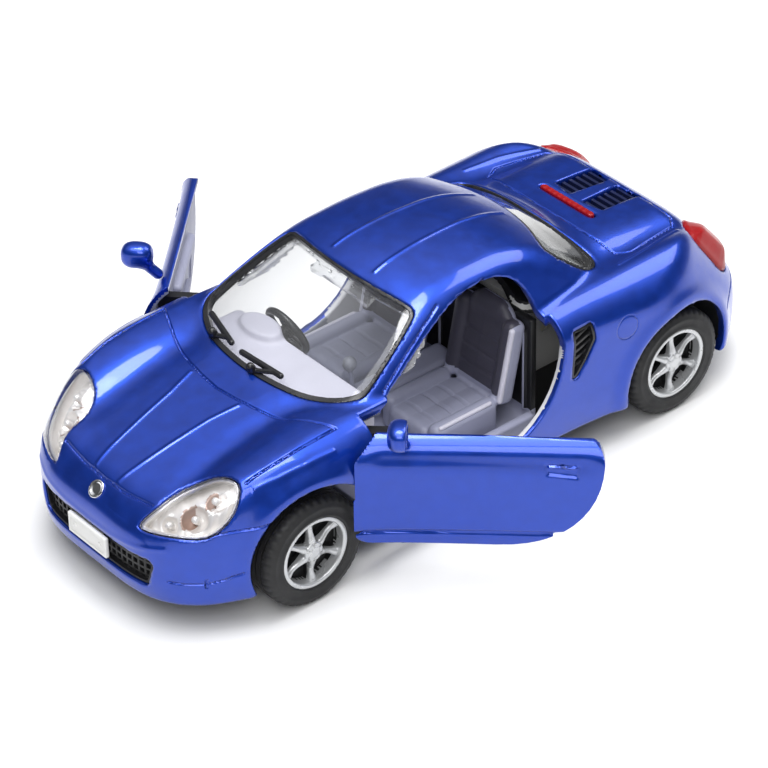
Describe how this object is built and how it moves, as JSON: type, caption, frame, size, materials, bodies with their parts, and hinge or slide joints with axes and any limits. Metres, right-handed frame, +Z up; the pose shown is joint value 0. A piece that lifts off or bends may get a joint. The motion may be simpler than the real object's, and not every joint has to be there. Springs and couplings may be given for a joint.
{
  "type": "pull back car",
  "caption": "Toy coupe with doors that swing open, free front wheels and a spring motor geared to the rear axle.",
  "frame": {"origin": "on the ground under the middle of the car", "axes": "+X forward to the nose, +Y to the car's left, +Z up"},
  "size_m": [0.125, 0.1056, 0.04],
  "materials": {
    "blue_paint": "gloss metallic",
    "black_plastic": "satin",
    "dark_plastic": "satin",
    "steel": "bright",
    "zinc": "cast",
    "clear_plastic": "gloss",
    "grey_plastic": "satin",
    "bright_plating": "mirror",
    "red_plastic": "gloss",
    "white_plastic": "gloss",
    "rim_plastic": "silver paint",
    "tyre_rubber": "matte",
    "gear_plastic": "natural"
  },
  "bodies": {
    "car_body": {"body_shell": "blue_paint", "chassis_plate": "black_plastic", "chassis_screws": "steel", "window_glazing": "clear_plastic", "interior_tub": "grey_plastic", "dashboard": "grey_plastic", "steering_wheel": "dark_plastic", "left_headlight_lens": "clear_plastic", "right_headlight_lens": "clear_plastic", "left_headlight_bowl": "bright_plating", "right_headlight_bowl": "bright_plating", "left_taillight": "red_plastic", "right_taillight": "red_plastic", "brake_light": "red_plastic", "front_grille": "black_plastic", "front_plate": "white_plastic", "rear_plate": "white_plastic", "nose_roundel": "bright_plating", "wipers": "black_plastic", "left_intake_grille": "black_plastic", "right_intake_grille": "black_plastic", "engine_vent_panel": "black_plastic", "exhaust_tips": "bright_plating", "left_hinge_bracket": "grey_plastic", "right_hinge_bracket": "grey_plastic", "motor_case_left": "white_plastic", "motor_case_right": "white_plastic", "mainspring": "steel"},
    "left_door_body": {"left_door": "blue_paint", "left_door_card": "grey_plastic", "left_mirror": "blue_paint", "left_hinge_arm": "zinc"},
    "right_door_body": {"right_door": "blue_paint", "right_door_card": "grey_plastic", "right_mirror": "blue_paint", "right_hinge_arm": "zinc"},
    "front_wheels": {"front_axle": "steel", "left_front_rim": "rim_plastic", "right_front_rim": "rim_plastic", "left_front_tyre": "tyre_rubber", "right_front_tyre": "tyre_rubber"},
    "rear_wheels": {"rear_axle": "steel", "left_rear_rim": "rim_plastic", "right_rear_rim": "rim_plastic", "left_rear_tyre": "tyre_rubber", "right_rear_tyre": "tyre_rubber", "drive_pinion": "gear_plastic"},
    "idler": {"idler_gear": "gear_plastic"},
    "spring_arbor": {"spring_gear": "gear_plastic"}
  },
  "joints": [
    {"name": "left_door_hinge", "type": "hinge", "parent": "car_body", "child": "left_door_body", "pos_m": [0.0293, 0.0183, 0.02275], "axis": [0, 0, -1], "range_deg": [-44, 1]},
    {"name": "right_door_hinge", "type": "hinge", "parent": "car_body", "child": "right_door_body", "pos_m": [0.0293, -0.0183, 0.02275], "axis": [0, 0, 1], "range_deg": [-44, 1]},
    {"name": "front_axle_spin", "type": "hinge", "parent": "car_body", "child": "front_wheels", "pos_m": [0.038, 0, 0.0096], "axis": [0, 1, 0], "continuous": true},
    {"name": "rear_axle_spin", "type": "hinge", "parent": "car_body", "child": "rear_wheels", "pos_m": [-0.0385, 0, 0.0096], "axis": [0, 1, 0], "continuous": true},
    {"name": "idler_spin", "type": "hinge", "parent": "car_body", "child": "idler", "pos_m": [-0.03425, 0, 0.01696], "axis": [0, 1, 0], "continuous": true},
    {"name": "arbor_spin", "type": "hinge", "parent": "car_body", "child": "spring_arbor", "pos_m": [-0.02532, 0, 0.01371], "axis": [0, 1, 0], "continuous": true}
  ],
  "couplings": [
    {"joint": "idler_spin", "follows": "rear_axle_spin", "ratio": -0.41667},
    {"joint": "arbor_spin", "follows": "rear_axle_spin", "ratio": 0.14881}
  ]
}
